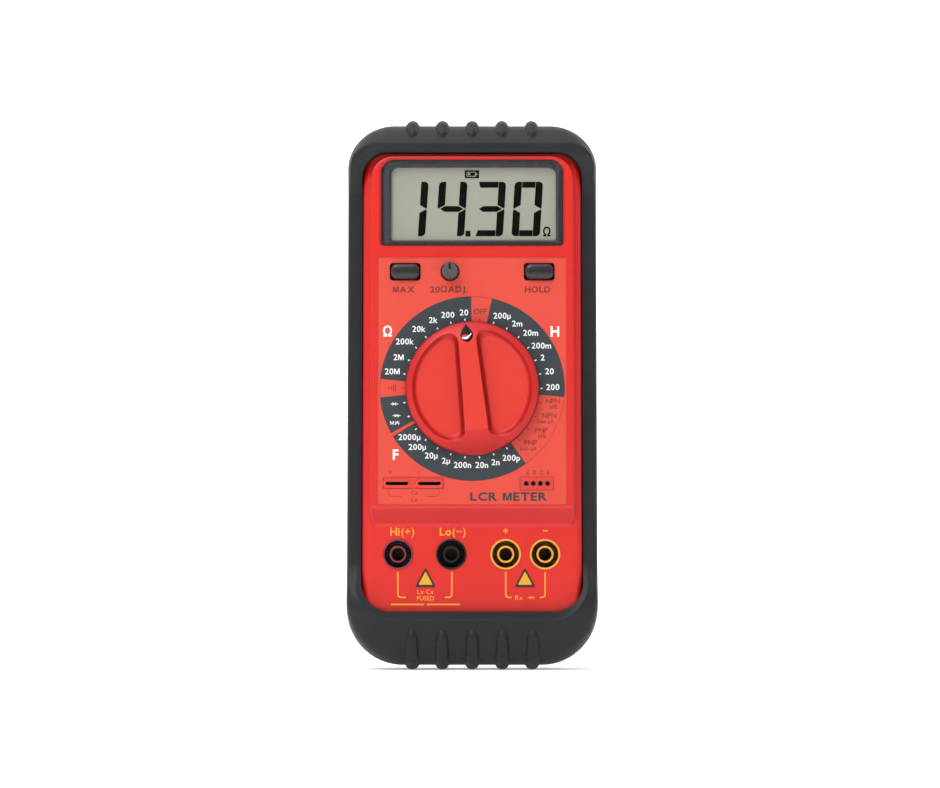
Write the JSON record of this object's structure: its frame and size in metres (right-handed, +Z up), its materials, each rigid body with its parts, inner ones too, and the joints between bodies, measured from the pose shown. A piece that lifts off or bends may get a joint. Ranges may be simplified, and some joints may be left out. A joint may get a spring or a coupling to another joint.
{
  "type": "handheld lcr meter",
  "caption": "Handheld meter for inductance, capacitance and resistance, with a range dial, a digital display, 4 mm test jacks and a rubber holster with a tilt stand.",
  "frame": {"origin": "under the middle of the meter as it stands on its lower end, on the floor, halfway between the holster's back and the dial's top", "axes": "+Z up the meter's length towards the display, -Y out of the front face, +X to the right as seen from the front"},
  "size_m": [0.0902, 0.042, 0.1996],
  "materials": {
    "holster_rubber": "matt moulded rubber with a faint grain",
    "dark_plastic": "matt",
    "steel_pin": "bright",
    "red_plastic": "fine spark-eroded grain",
    "steel_screw": "zinc plated",
    "clear_window": "clear polished acrylic",
    "bezel_grey": "matt",
    "lcd_glass": "grey-green reflective display",
    "contact_rubber": "matt, striped",
    "printed_plate": "printed film with a fine grain",
    "red_dial": "satin",
    "black_plastic": "satin black",
    "white_plastic": "natural nylon",
    "contact_brass": "sprung brass",
    "pot_blue": "moulded",
    "socket_red": "matt",
    "board_green": "solder mask",
    "battery_shell": "lacquered sleeve",
    "fuse_glass": "clear tube with plated caps",
    "capacitor_sleeve": "shrink sleeve",
    "label_silver": "metallised film",
    "jack_maroon": "moulded",
    "jack_black": "moulded",
    "jack_yellow": "moulded",
    "plated_contact": "plated"
  },
  "bodies": {
    "meter": {"holster": "holster_rubber", "stand_hinge_pin": "steel_pin", "front_case": "red_plastic", "rear_case": "red_plastic", "battery_door": "red_plastic", "battery_door_screw": "steel_screw", "case_screws": "steel_screw", "display_window": "clear_window", "lcd_bezel": "bezel_grey", "lcd_panel": "lcd_glass", "zebra_strips": "contact_rubber", "face_plate": "printed_plate", "detent_ring": "white_plastic", "max_switch": "black_plastic", "hold_switch": "black_plastic", "ohm_adjust_pot": "pot_blue", "component_socket": "socket_red", "component_contacts": "contact_brass", "transistor_socket": "socket_red", "transistor_contacts": "contact_brass", "main_board": "board_green", "display_board": "board_green", "board_header": "contact_brass", "battery": "battery_shell", "battery_clip": "black_plastic", "battery_leads": "black_plastic", "fuse": "fuse_glass", "fuse_clips": "contact_brass", "measuring_chip": "black_plastic", "capacitors": "capacitor_sleeve", "buzzer": "black_plastic", "rating_label": "label_silver", "hi_jack": "jack_maroon", "lo_jack": "jack_black", "plus_jack": "jack_yellow", "minus_jack": "jack_yellow", "hi_contact": "plated_contact", "lo_contact": "plated_contact", "plus_contact": "plated_contact", "minus_contact": "plated_contact"},
    "dial": {"range_dial": "red_dial", "dial_pointer": "black_plastic", "dial_rotor": "white_plastic", "detent_balls": "steel_pin", "detent_springs": "steel_pin", "rotor_wipers": "contact_brass", "dial_screw": "steel_screw"},
    "max_key": {"max_button": "black_plastic", "max_plunger": "white_plastic"},
    "hold_key": {"hold_button": "black_plastic", "hold_plunger": "white_plastic"},
    "adjuster": {"ohm_adjust_knob": "black_plastic", "ohm_adjust_shaft": "white_plastic"},
    "stand": {"tilt_stand": "dark_plastic"}
  },
  "joints": [
    {"name": "dial_turn", "type": "hinge", "parent": "meter", "child": "dial", "pos_m": [0, -0.014, 0.1006], "axis": [0, -1, 0], "continuous": true},
    {"name": "max_press", "type": "slide", "parent": "meter", "child": "max_key", "axis": [0, 1, 0], "range_m": [0, 0.0012], "stiffness_N_per_m": 1200},
    {"name": "hold_press", "type": "slide", "parent": "meter", "child": "hold_key", "axis": [0, 1, 0], "range_m": [0, 0.0012], "stiffness_N_per_m": 1200},
    {"name": "ohm_adjust_turn", "type": "hinge", "parent": "meter", "child": "adjuster", "pos_m": [-0.008, -0.014, 0.1427], "axis": [0, -1, 0], "range_deg": [-140, 140]},
    {"name": "stand_hinge", "type": "hinge", "parent": "meter", "child": "stand", "pos_m": [0, 0.0195, 0.1441], "axis": [1, 0, 0], "range_deg": [0, 65]}
  ]
}
